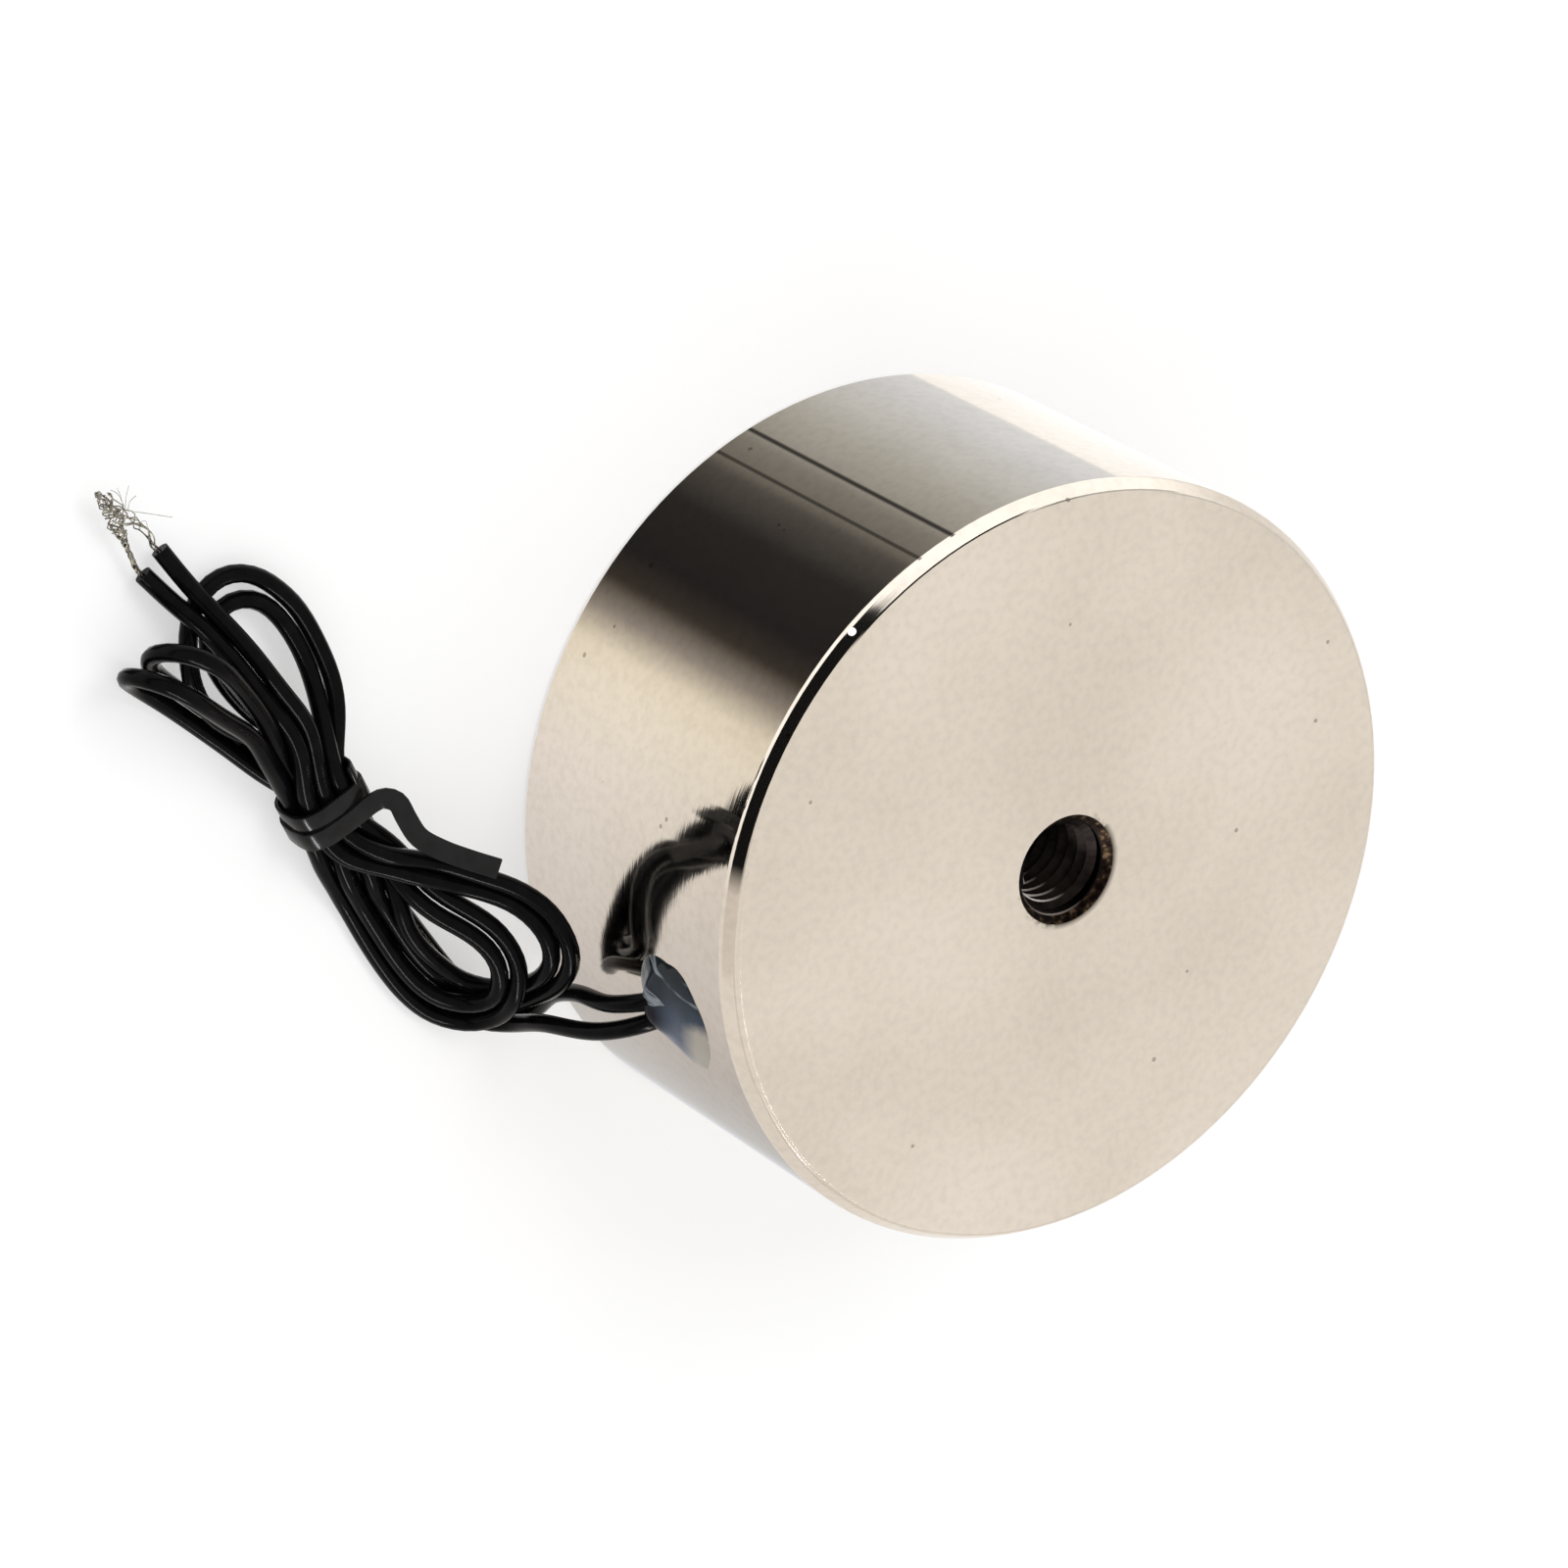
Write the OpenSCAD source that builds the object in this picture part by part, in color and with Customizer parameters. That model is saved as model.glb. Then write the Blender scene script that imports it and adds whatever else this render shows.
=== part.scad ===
// Holding electromagnet: a turned steel pot with a coil potted into its groove.
// Two flying leads leave its side through a sealed hole and are folded into a tied hank.
// The part stands on its holding face. Z runs up the axis to the back face with its thread,
// and X points at the lead exit.

/* [Pot] */
// Outside diameter of the pot
pot_d = 65; // [60:1:80]
// Height from the holding face to the back face
pot_h = 30; // [28:1:40]
// Diameter of the pole in the middle, as a share of the outside diameter
pole_share = 0.46; // [0.42:0.01:0.48]
// Wall of the pot around the groove
pot_wall = 3.8; // [3:0.1:4.6]
// Thickness of the back above the groove
back_t = 6.5; // [5.5:0.5:8]
// Width of the rim chamfer, seen from the back
rim_w = 0.8; // [0.7:0.1:1.5]
// Height of the rim chamfer along the side
rim_h = 1.4; // [1.2:0.1:2]
// Radius that softens both edges of the rim chamfer
rim_round = 0.8; // [0.2:0.1:1]
// Chamfer around the holding face
face_chamfer = 0.5; // [0.3:0.1:1]
// Broken edge on both sides of the groove
edge_break = 0.2; // [0.1:0.05:0.4]

/* [Mounting thread] */
// Outside diameter of the thread
thread_d = 8; // [6:0.5:10]
// Depth of the thread below the back face
thread_depth = 12; // [8:0.5:14]
// Diameter of the countersink at the mouth
countersink_d = 9.4; // [9:0.1:12]
// Angle of the drill point at the bottom
drill_angle = 118; // [110:1:140]

/* [Coil] */
// Gap between the bobbin and the pole
bobbin_gap = 0.3; // [0.1:0.05:0.5]
// Wall of the bobbin tube
bobbin_wall = 1.4; // [1:0.1:2]
// Thickness of each bobbin flange
flange_t = 1.2; // [0.8:0.1:1.6]
// Gap between the bobbin flanges and the pot wall
flange_gap = 0.5; // [0.2:0.1:1]
// Room for the splices between the taped coil and the pot wall
splice_room = 4.8; // [4.4:0.1:5.2]
// Thickness of the tape around the winding
tape_t = 0.4; // [0.2:0.1:0.6]
// Width of the slot in the upper flange for the start of the winding
slot_w = 0.9; // [0.7:0.1:1.4]
// Bore in the tape for the finish of the winding
tape_hole_d = 0.9; // [0.7:0.1:1.4]
// Thickness of the potting resin at the holding face
resin_t = 3; // [2:0.25:4]
// Recess of the resin below the holding face
resin_recess = 0.3; // [0.1:0.05:0.5]

/* [Leads] */
// Diameter of each insulated lead
lead_d = 1.5; // [1.2:0.05:1.6]
// Diameter of the bare conductor
conductor_d = 0.8; // [0.6:0.05:0.9]
// Diameter of the winding wire where it leaves the coil
tail_d = 0.5; // [0.3:0.05:0.6]
// Diameter of the lead exit hole
exit_d = 5; // [4.8:0.1:5.4]
// Height of the groove ceiling above the middle of the exit hole
exit_drop = 3.2; // [3.1:0.1:3.6]
// Length of each splice sleeve
sleeve_l = 9; // [8:0.5:10]
// Wall of each splice sleeve
sleeve_t = 0.3; // [0.2:0.05:0.4]
// Running gap around a lead or wire where it passes through another piece
pass_gap = 0.05; // [0.03:0.01:0.1]
// Length of each solder joint
solder_l = 3; // [2.6:0.1:3.6]
// Diameter of each solder joint
solder_d = 1.3; // [1.15:0.05:1.4]
// Depth of an insulated lead inside its sleeve
lead_in = 1.5; // [1:0.1:2]
// Length of bare strands beyond each cut end
strand_l = 7.5; // [5:0.5:10]
// Diameter of one loose strand
strand_d = 0.2; // [0.15:0.05:0.3]

/* [Sealant] */
// Radius of the sealant bead on the side of the pot
bead_r = 4.2; // [3.6:0.1:4.8]
// Height of the sealant bead above the side of the pot
bead_h = 2; // [1.2:0.1:2.4]

/* [Hank and tie] */
// Height of the hank above the surface it lies on
hank_h = 5.6; // [5:0.1:7]
// Height of the raised fold beside the pot
fold_h = 12.8; // [11:0.2:14]
// Width of the hank where the tie holds it
waist_w = 6; // [5:0.2:7]
// Width of the tie strip
tie_w = 1.8; // [1.4:0.1:3]
// Thickness of the tie strip
tie_t = 0.6; // [0.4:0.1:0.8]
// Gap between the tie and the hank
tie_gap = 0.1; // [0.05:0.05:0.3]

/* [Hidden] */

$fn = 96;
tube_sides = 8;
fillet_steps = 6;
pot_r = pot_d / 2;
core_r = pot_r * pole_share;
groove_r = pot_r - pot_wall;
groove_z = pot_h - back_t;
thread_z = pot_h - thread_depth;
exit_z = groove_z - exit_drop;
hub_in = core_r + bobbin_gap;
hub_r = hub_in + bobbin_wall;
flange_r = groove_r - flange_gap;
tape_r = groove_r - splice_room;
winding_r = tape_r - tape_t;
bobbin_z = resin_recess + resin_t;
winding_z = bobbin_z + flange_t;
winding_top = groove_z - flange_t;
lead_r = lead_d / 2;
tail_r = tail_d / 2;

// Splice line: a chord beside the taped coil, measured from the middle of its sleeve
splice_r = (tape_r + groove_r) / 2;
splice_z = exit_z + 0.3;
splice_angle = 26;
sleeve_in = lead_r + pass_gap;
function splice(side, along) =
    let (a = side * splice_angle)
    [splice_r * cos(a) - side * along * sin(a), splice_r * sin(a) + side * along * cos(a), splice_z];
function polar(r, angle, z) = [r * cos(angle), r * sin(angle), z];

// Leads from their splices, out through the hole and down to the hank
function lead_inside(side) = [
    splice(side, lead_in - sleeve_l / 2),
    splice(side, -sleeve_l / 2),
    splice(side, -2.5 - sleeve_l / 2),
    [groove_r - 1.3, side * 3.1, exit_z + 0.4],
    [groove_r - 0.1, side * 1.5, exit_z + 0.4],
    [groove_r + 1.5, side * 0.95, exit_z + 0.2],
    [pot_r, side * 0.85, exit_z - 0.1]];
lead_a_outside = [
    [pot_r + 1.6, -0.8, exit_z - 1],
    [pot_r + 2.7, -0.4, exit_z - 2.8],
    [pot_r + 3.2, 0.2, exit_z - 5],
    [pot_r + 3.1, 0.7, exit_z - 7.8],
    [pot_r + 2.9, 1.9, hank_h + 3.8],
    [pot_r + 3.2, 3.2, hank_h + 0.8],
    [pot_r + 3.3, 3.3, hank_h]];
lead_b_outside = [
    [pot_r + 1.8, 1.1, exit_z - 1],
    [pot_r + 3.3, 1.7, exit_z - 2.8],
    [pot_r + 4.4, 2.4, exit_z - 5.2],
    [pot_r + 5.1, 3, exit_z - 8.2],
    [pot_r + 5.5, 3.8, hank_h + 3],
    [pot_r + 5.5, 3.8, hank_h]];

// Hank: lobes of its outline as the middle and radius of each fold
tie_at = [pot_r + 16.5, -19.5];
tie_angle = -78;
low_fold = [pot_r + 9, -0.3];
raised_fold = [pot_r + 7.1, -4];
far_fold = [pot_r + 18.9, -36.4];
side_fold = [pot_r + 29.2, -39.6];
low_fold_r = 7;
raised_fold_r = 4.2;
far_fold_r = 6.8;
side_fold_r = 3;
ends_at = [pot_r + 23.8, -42.6];
ends_angle = -72;
ends_w = 4.4;
ends_l = 8;
ends_z = 2.4;
ends_pitch = 2;
cut_a = [pot_r + 24, -47, 1.6];
cut_b = [pot_r + 25.8, -45.6, 1.4];

// Tail of the tie, from its knot beside the bundle over the raised fold
tie_tail = [
    [pot_r + 14.3, -20, 5.3],
    [pot_r + 13.2, -20.6, 6],
    [pot_r + 12.3, -20.1, 6.6],
    [pot_r + 12, -18.5, 7],
    [pot_r + 11.6, -16.8, 7.5],
    [pot_r + 10.3, -15.2, 8.2],
    [pot_r + 8.6, -13.7, 9],
    [pot_r + 6.6, -12.1, 9.8]];

function unit(v) = v / norm(v);
function tangents(p) = [for (i = [0:len(p) - 1]) unit(p[min(i + 1, len(p) - 1)] - p[max(i - 1, 0)])];
// Normals carried along a route without twist
function normals(t, i, n) = i == len(t) ? [] :
    let (m = unit(n - (n * t[i]) * t[i])) concat([m], normals(t, i + 1, m));
// Arc that rounds the corner p between its neighbours a and b
function fillet(a, p, b, r) =
    let (u = unit(a - p), v = unit(b - p), half = acos(u * v) / 2,
         c = p + unit(u + v) * r / sin(half), d = r / tan(half),
         s = p + u * d - c, e = p + v * d - c,
         a0 = atan2(s[1], s[0]), turn = atan2(e[1], e[0]) - a0,
         short = turn > 180 ? turn - 360 : turn < -180 ? turn + 360 : turn)
    [for (i = [0:fillet_steps]) c + r * [cos(a0 + short * i / fillet_steps), sin(a0 + short * i / fillet_steps)]];

// Solid swept along route p with the section given as points across and up
module sweep(p, section, up = [0, 0, 1]) {
    t = tangents(p);
    n = normals(t, 0, up);
    k = len(section);
    m = len(p);
    points = [for (i = [0:m - 1]) for (s = section) p[i] + s[0] * cross(n[i], t[i]) + s[1] * n[i]];
    sides = [for (i = [0:m - 2]) for (j = [0:k - 1])
        [i * k + j, i * k + (j + 1) % k, (i + 1) * k + (j + 1) % k, (i + 1) * k + j]];
    ends = [[for (j = [k - 1:-1:0]) j], [for (j = [0:k - 1]) (m - 1) * k + j]];
    polyhedron(points, concat(sides, ends), convexity = 6);
}

function ring(r) = [for (j = [0:tube_sides - 1]) r * [sin(j * 360 / tube_sides), cos(j * 360 / tube_sides)]];

module tube(p, r, up = [0, 0, 1]) {
    sweep(p, ring(r), up);
}

module washer(r_out, r_in, z0, z1) {
    translate([0, 0, z0]) difference() {
        cylinder(r = r_out, h = z1 - z0);
        translate([0, 0, -1]) cylinder(r = r_in, h = z1 - z0 + 2);
    }
}

// Rod along the splice line between two distances from its middle
module splice_rod(side, from, to, r) {
    translate(splice(side, from)) rotate([0, 90, side * (90 + splice_angle)])
        cylinder(r = r, h = to - from, $fn = 24);
}

// Turned pot: back, wall and pole in one piece
module pot_body() {
    rim_side = [pot_r, pot_h - rim_h];
    rim_back = [pot_r - rim_w, pot_h];
    profile = concat(
        [[0, 0], [core_r - edge_break, 0], [core_r, edge_break], [core_r, groove_z],
         [groove_r, groove_z], [groove_r, edge_break], [groove_r + edge_break, 0],
         [pot_r - face_chamfer, 0], [pot_r, face_chamfer]],
        fillet([pot_r, 0], rim_side, rim_back, rim_round),
        fillet(rim_side, rim_back, [0, pot_h], rim_round),
        [[0, pot_h]]);
    thread_r = thread_d / 2;
    countersink_r = countersink_d / 2;
    countersink_z = countersink_r - thread_r;
    point_h = thread_r / tan(drill_angle / 2);
    color([0.84, 0.81, 0.77]) difference() {
        rotate_extrude($fn = 180) polygon(profile);
        translate([0, 0, thread_z]) cylinder(r = thread_r, h = thread_depth + 1);
        translate([0, 0, thread_z - point_h]) cylinder(r1 = 0, r2 = thread_r, h = point_h);
        translate([0, 0, pot_h - countersink_z])
            cylinder(r1 = thread_r, r2 = countersink_r + 1, h = countersink_z + 1);
        translate([groove_r - pot_wall, 0, exit_z]) rotate([0, 90, 0]) cylinder(d = exit_d, h = 3 * pot_wall);
    }
}

// Moulded spool that fills the groove from the ceiling down to the resin
module coil_bobbin() {
    slot_angle = -splice_angle - 22;
    color([0.93, 0.9, 0.82]) difference() {
        rotate_extrude() polygon([
            [hub_in, bobbin_z], [flange_r, bobbin_z], [flange_r, winding_z], [hub_r, winding_z],
            [hub_r, winding_top], [flange_r, winding_top], [flange_r, groove_z], [hub_in, groove_z]]);
        rotate([0, 0, slot_angle]) translate([hub_r, -slot_w / 2, winding_top - 1])
            cube([groove_r, slot_w, flange_t + 2]);
    }
}

module coil_winding() {
    color([0.72, 0.38, 0.16]) washer(winding_r, hub_r, winding_z, winding_top);
}

// Tape around the winding, with the hole that lets the finish of the winding out
module coil_tape() {
    color([0.9, 0.78, 0.2]) difference() {
        washer(tape_r, winding_r, winding_z, winding_top);
        rotate([0, 0, splice_angle + 20]) translate([winding_r - 1, 0, splice_z])
            rotate([0, 90, 0]) cylinder(d = tape_hole_d, h = tape_t + 2, $fn = 24);
    }
}

module potting_resin() {
    color([0.12, 0.12, 0.12]) washer(groove_r, core_r, resin_recess, bobbin_z);
}

// Inner end of the winding: up through the flange slot, out along it and down to its splice
module winding_start() {
    slot_z = (winding_top + groove_z) / 2;
    slot_angle = -splice_angle - 22;
    color([0.75, 0.4, 0.18]) tube([
        polar(hub_r + 1, slot_angle, winding_top),
        polar(hub_r + 1.1, slot_angle, winding_top + 0.3),
        polar(hub_r + 1.6, slot_angle, slot_z),
        polar(tape_r - 1.5, slot_angle, slot_z),
        polar(splice_r - 1.2, slot_angle, slot_z - 0.1),
        polar(splice_r - 0.2, slot_angle + 0.2, slot_z - 0.6),
        polar(splice_r + 0.1, slot_angle + 1.5, splice_z + 1),
        polar(splice_r + 0.3, slot_angle + 5, splice_z + 0.2),
        splice(-1, sleeve_l / 2 + 1),
        splice(-1, sleeve_l / 2),
        splice(-1, 0)], tail_r, polar(1, slot_angle, 0));
}

// Outer end of the winding: out through the hole in the tape and round to its splice
module winding_finish() {
    out_angle = splice_angle + 20;
    color([0.75, 0.4, 0.18]) tube([
        polar(winding_r, out_angle, splice_z),
        polar(tape_r + 0.4, out_angle, splice_z),
        polar(splice_r - 0.9, out_angle - 0.6, splice_z),
        polar(splice_r + 0.1, out_angle - 3, splice_z),
        splice(1, sleeve_l / 2 + 1),
        splice(1, sleeve_l / 2),
        splice(1, 0)], tail_r);
}

// Solder that joins the bare conductor to the end of the winding wire
module solder_joint(side) {
    half = solder_l / 2;
    slope = 0.3;
    wire_r = conductor_d / 2;
    wire_end = tail_r + pass_gap;
    color([0.75, 0.76, 0.78]) translate(splice(side, 0)) rotate([0, 90, side * (90 + splice_angle)])
        rotate_extrude($fn = 24) polygon([
            [wire_r, -half], [solder_d / 2 - slope / 2, -half], [solder_d / 2, slope - half],
            [solder_d / 2, half - slope], [solder_d / 2 - slope, half], [wire_end, half],
            [wire_end, 0], [wire_r, 0]]);
}

// Shrink sleeve over the joint, gripping the end of the insulation
module splice_sleeve(side) {
    color([0.1, 0.1, 0.1]) difference() {
        splice_rod(side, -sleeve_l / 2, sleeve_l / 2, sleeve_in + sleeve_t);
        splice_rod(side, -sleeve_l / 2 - 1, sleeve_l / 2 + 1, sleeve_in);
    }
}

// Stripped end of the lead, from the cut insulation into the solder
module conductor(side) {
    color([0.78, 0.78, 0.76]) splice_rod(side, lead_in - sleeve_l / 2, 0, conductor_d / 2);
}

// Resin that fills the exit hole and stands as a bead on the side of the pot
module exit_sealant() {
    wall_r = pot_r + pass_gap;
    color([0.35, 0.4, 0.5]) difference() {
        union() {
            difference() {
                union() {
                    bead(-0.2, 0.4, bead_r, bead_h);
                    bead(1.7, 1.7, bead_r * 0.8, bead_h * 0.7);
                    bead(-1.8, 0.8, bead_r * 0.8, bead_h * 0.8);
                }
                cylinder(r = wall_r, h = pot_h);
            }
            translate([groove_r + 1, 0, exit_z]) rotate([0, 90, 0])
                cylinder(d = exit_d - 2 * pass_gap, h = pot_wall);
        }
        tube(concat(lead_inside(-1), lead_a_outside), lead_r + pass_gap);
        tube(concat(lead_inside(1), lead_b_outside), lead_r + pass_gap);
    }
}

// Ball whose cap stands h above the side of the pot on a foot of radius r
module bead(y, z, r, h) {
    ball = (r * r + h * h) / (2 * h);
    foot_x = sqrt(pot_r * pot_r - y * y);
    translate([foot_x + h - ball, y, exit_z + z]) sphere(r = ball);
}

module lead_a() {
    color([0.07, 0.07, 0.08]) tube(concat(lead_inside(-1), lead_a_outside), lead_r);
}

module lead_b() {
    color([0.07, 0.07, 0.08]) tube(concat(lead_inside(1), lead_b_outside), lead_r);
}

// Outline between two folds: a round end at each and straight flanks
module limb(p, rp, q, rq) {
    n = unit([p[1] - q[1], q[0] - p[0]]);
    translate(p) circle(r = rp);
    translate(q) circle(r = rq);
    polygon([p + rp * n, q + rq * n, q - rq * n, p - rp * n]);
}

// Cross section of the bundle inside the tie, and of the tie itself
module waist(grow) {
    w = waist_w + 2 * grow;
    z0 = tie_t + tie_gap - grow;
    z1 = hank_h - tie_t + grow;
    corner = 1 + grow;
    for (y = [corner - w / 2, w / 2 - corner]) {
        for (z = [z0 + corner, z1 - corner]) translate([y, z]) circle(r = corner, $fn = 32);
    }
    translate([-w / 2, z0 + corner]) square([w, z1 - z0 - 2 * corner]);
    translate([corner - w / 2, z0]) square([w - 2 * corner, z1 - z0]);
}

// Slice of the bundle at the tie, grown outwards and w long
module tie_slice(w, grow) {
    translate([tie_at[0], tie_at[1], 0]) rotate([0, 0, tie_angle]) translate([-w / 2, 0, 0])
        rotate([90, 0, 90]) linear_extrude(w) waist(grow);
}

// Outer shape of the folded and tied leads
module lead_hank() {
    waist_r = waist_w / 2;
    color([0.07, 0.07, 0.08]) difference() {
        union() {
            linear_extrude(hank_h) {
                limb(tie_at, waist_r, low_fold, low_fold_r);
                limb(tie_at, waist_r, far_fold, far_fold_r);
                limb(tie_at, waist_r, side_fold, side_fold_r);
                translate(ends_at) rotate(ends_angle) translate([-ends_l, -ends_w / 2])
                    square([ends_l, ends_w]);
            }
            translate([0, 0, hank_h - 1]) linear_extrude(fold_h - hank_h + 1)
                translate(raised_fold) circle(r = raised_fold_r);
        }
        difference() {
            translate([tie_at[0], tie_at[1], 0]) rotate([0, 0, tie_angle])
                translate([-tie_w / 2 - tie_gap, -hank_h, -1])
                    cube([tie_w + 2 * tie_gap, 2 * hank_h, hank_h + 2]);
            tie_slice(tie_w + 4 * tie_gap, 0);
        }
    }
}

// Free ends of the leads, butted against the flat end of the hank
function end_start(side) = [
    ends_at[0] - side * ends_pitch / 2 * sin(ends_angle),
    ends_at[1] + side * ends_pitch / 2 * cos(ends_angle),
    ends_z];
function end_route(side, cut) = let (s = end_start(side), d = [cos(ends_angle), sin(ends_angle), 0])
    [s, s + 1.2 * d, (s + 1.2 * d + cut) / 2, cut];

module lead_end_a() {
    color([0.07, 0.07, 0.08]) tube(end_route(-1, cut_a), lead_r);
}

module lead_end_b() {
    color([0.07, 0.07, 0.08]) tube(end_route(1, cut_b), lead_r);
}

// Frayed conductor beyond a cut end: a twisted root and loose strands
module strands(cut, heading) {
    root = strand_l / 3;
    color([0.72, 0.71, 0.68]) translate(cut) rotate([0, 90, heading]) {
        cylinder(d = conductor_d, h = root, $fn = 16);
        for (i = [0:5]) rotate([0, 0, 60 * i]) translate([conductor_d / 4, 0, root - 0.5])
            rotate([0, 4 + 1.5 * (i % 3), 0]) cylinder(d = strand_d, h = strand_l - root, $fn = 16);
    }
}

// Flat tie: a band around the bundle, then a tail from its twist
module lead_tie() {
    color([0.1, 0.1, 0.11]) {
        difference() {
            tie_slice(tie_w, tie_gap + tie_t);
            tie_slice(tie_w + 1, tie_gap);
        }
        sweep(tie_tail, [[-tie_w / 2, -tie_t / 2], [-tie_w / 2, tie_t / 2], [tie_w / 2, tie_t / 2],
                         [tie_w / 2, -tie_t / 2]]);
    }
}

pot_body();
coil_bobbin();
coil_winding();
coil_tape();
potting_resin();
winding_start();
winding_finish();
solder_joint(-1);  // solder_joint_a
solder_joint(1);  // solder_joint_b
splice_sleeve(-1);  // splice_sleeve_a
splice_sleeve(1);  // splice_sleeve_b
conductor(-1);  // conductor_a
conductor(1);  // conductor_b
exit_sealant();
lead_a();
lead_b();
lead_hank();
lead_end_a();
lead_end_b();
strands(cut_a, -79);  // strands_a
strands(cut_b, -73);  // strands_b
lead_tie();
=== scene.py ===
# %% [markdown]
# # A holding electromagnet with two folded leads
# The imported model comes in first. It is the frame that everything else is fitted to.
# All lengths below are written in millimetres and turned into metres by `MM`.

# %% Load the frame
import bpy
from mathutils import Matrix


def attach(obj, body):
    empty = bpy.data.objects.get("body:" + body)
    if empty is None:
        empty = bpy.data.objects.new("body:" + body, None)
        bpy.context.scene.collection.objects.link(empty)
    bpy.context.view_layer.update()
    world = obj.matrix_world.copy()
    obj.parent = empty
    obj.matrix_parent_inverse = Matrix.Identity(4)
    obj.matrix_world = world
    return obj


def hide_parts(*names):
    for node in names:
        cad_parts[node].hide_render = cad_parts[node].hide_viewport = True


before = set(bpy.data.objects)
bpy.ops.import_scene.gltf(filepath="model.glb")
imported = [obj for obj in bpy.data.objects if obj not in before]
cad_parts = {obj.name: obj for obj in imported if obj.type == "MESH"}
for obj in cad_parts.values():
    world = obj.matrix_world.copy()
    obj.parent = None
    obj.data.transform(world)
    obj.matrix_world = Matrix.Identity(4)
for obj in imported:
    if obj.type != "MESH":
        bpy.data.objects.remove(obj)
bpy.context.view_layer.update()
import math
import bpy
import numpy as np
from mathutils import Matrix, Vector

MM = 0.001
POT_R, POT_H = 32.5, 30.0
EXIT_Z = 20.3
# the two leads pass the outer wall this far to each side of x, and this far below EXIT_Z
EXIT_SIDE, EXIT_DROP = 0.85, 0.1
LEAD_D = 1.5
print("nodes in the frame:", len(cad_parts))

# %% [markdown]
# ## The camera
# A long lens looks down on the back of the magnet, rolled well over to one side, so that the
# face with the threaded hole turns to the lower right and the leads lie on the left.

# %% Camera
CAMERA_AT = (0.23977, -0.28766, 0.42462)
CAMERA_TURN = (-23.9, -34.464, 167.024)
LENS = 155.94
bpy.ops.object.camera_add(location=CAMERA_AT, rotation=[math.radians(a) for a in CAMERA_TURN])
camera = bpy.context.object
camera.name = "camera"
camera.data.sensor_width = 36
camera.data.lens = LENS
camera.data.clip_start = 0.01
bpy.context.scene.camera = camera
print("lens", camera.data.lens)

# %% [markdown]
# ## The leads' route
# Both leads start at their splices inside the groove, pass the wall side by side and drop to
# the floor. Then each runs five times through the tie and turns at four folds between.

# %% Route points, in mm
SPLICE_R, SPLICE_Z, SPLICE_ANGLE, GROOVE_R, SLEEVE_L = 26.3, 20.6, 26, 28.7, 9.0
HANK_H = 5.6
TIE_AT = np.array([49, -19.5])
ALONG = np.array([math.cos(math.radians(-78)), math.sin(math.radians(-78))])
ACROSS = np.array([-ALONG[1], ALONG[0]])
ROW_Z = [1.65, 2.95, 4.25]
IN_TIE = (-1.2, 1, 3.2)
# place in the tie of each of the five passes: (across, row)
PASSES = {"a": [(1.5, 0), (2.25, 1), (-1.5, 2), (-0.75, 1), (0, 2)],
          "b": [(0, 0), (0.75, 1), (-2.25, 1), (-1.5, 0), (1.5, 2)]}
OUTSIDE = {
    "a": [(POT_R + 1.6, -0.8, EXIT_Z - 1), (POT_R + 2.7, -0.4, EXIT_Z - 2.8), (POT_R + 3.2, 0.2, EXIT_Z - 5),
          (POT_R + 3.1, 0.7, EXIT_Z - 7.8), (POT_R + 2.9, 1.9, HANK_H + 3.8), (POT_R + 3.2, 3.2, HANK_H + 0.8)],
    "b": [(POT_R + 1.8, 1.1, EXIT_Z - 1), (POT_R + 3.3, 1.7, EXIT_Z - 2.8), (POT_R + 4.4, 2.4, EXIT_Z - 5.2),
          (POT_R + 5.1, 3, EXIT_Z - 8.2), (POT_R + 5.5, 3.8, HANK_H + 3)]}
# on from there along the floor, under the low fold, to the tie
ALONG_FLOOR = {
    "a": [(35.9, 5, 4.4), (36.8, 6.3, 2.6), (38.3, 6.2, 1.4), (40, 4.4, 0.85), (41.6, 0.8, 0.85), (43.4, -4.4, 0.85),
          (46, -11, 0.9)],
    "b": [(38.2, 5, 5.6), (38.6, 5.8, 3.2), (39.9, 5, 1.2), (42, 1.4, 0.85), (44.2, -3.4, 0.85), (46.4, -10, 0.9)]}
# the folds in the order that the leads run through them
SIDE_A = [(55.5, -28.8, 0.8), (58.8, -33.6, 0.8), (60.9, -36.4, 1.2), (62.4, -38.6, 2.7), (63, -40, 4.9),
          (62.6, -40.4, 7), (61.3, -39.5, 8.4), (59.4, -37.1, 8.4), (57.3, -34.1, 7.2), (54.9, -30.8, 6)]
SIDE_B = [(54.5, -29.8, 0.8), (57, -33.6, 0.8), (58.9, -36.4, 1.4), (60.3, -39, 3), (60.8, -40.9, 5.1),
          (60.1, -41.7, 7.2), (58.7, -41, 8.6), (56.9, -38.8, 8.4), (55.4, -36, 7.2), (53.9, -32.6, 6)]
LOW_A = [(48.3, -8.8, 0.8), (47.2, -4.2, 0.8), (45.6, 0.2, 0.8), (43.6, 3.3, 1.1), (41.6, 4.4, 2.8), (40.1, 3.5, 5.2),
         (39.5, 1.3, 7.4), (39, -1.9, 8.2), (39.3, -4.8, 8), (40.5, -7.2, 7.2), (42.7, -10, 6)]
LOW_B = [(47.3, -9, 2), (46.3, -5, 2), (44.6, -1, 2.2), (42.8, 1.3, 3.6), (41.3, 1.4, 5.4), (40.2, 0, 7.2),
         (40, -2.2, 7.9), (40.7, -4.6, 7.6), (42.1, -6.8, 6.8), (44, -9.1, 5.8)]
FAR_A = [(47.5, -29.8, 3), (47.7, -34, 2.7), (48.5, -37.6, 2.1), (50.5, -39.7, 1.6), (52.8, -39.7, 1.3),
         (54.4, -38.3, 1.4), (54.6, -36.2, 1.5), (54, -33.3, 1.8), (52.6, -30, 2.4)]
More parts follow.
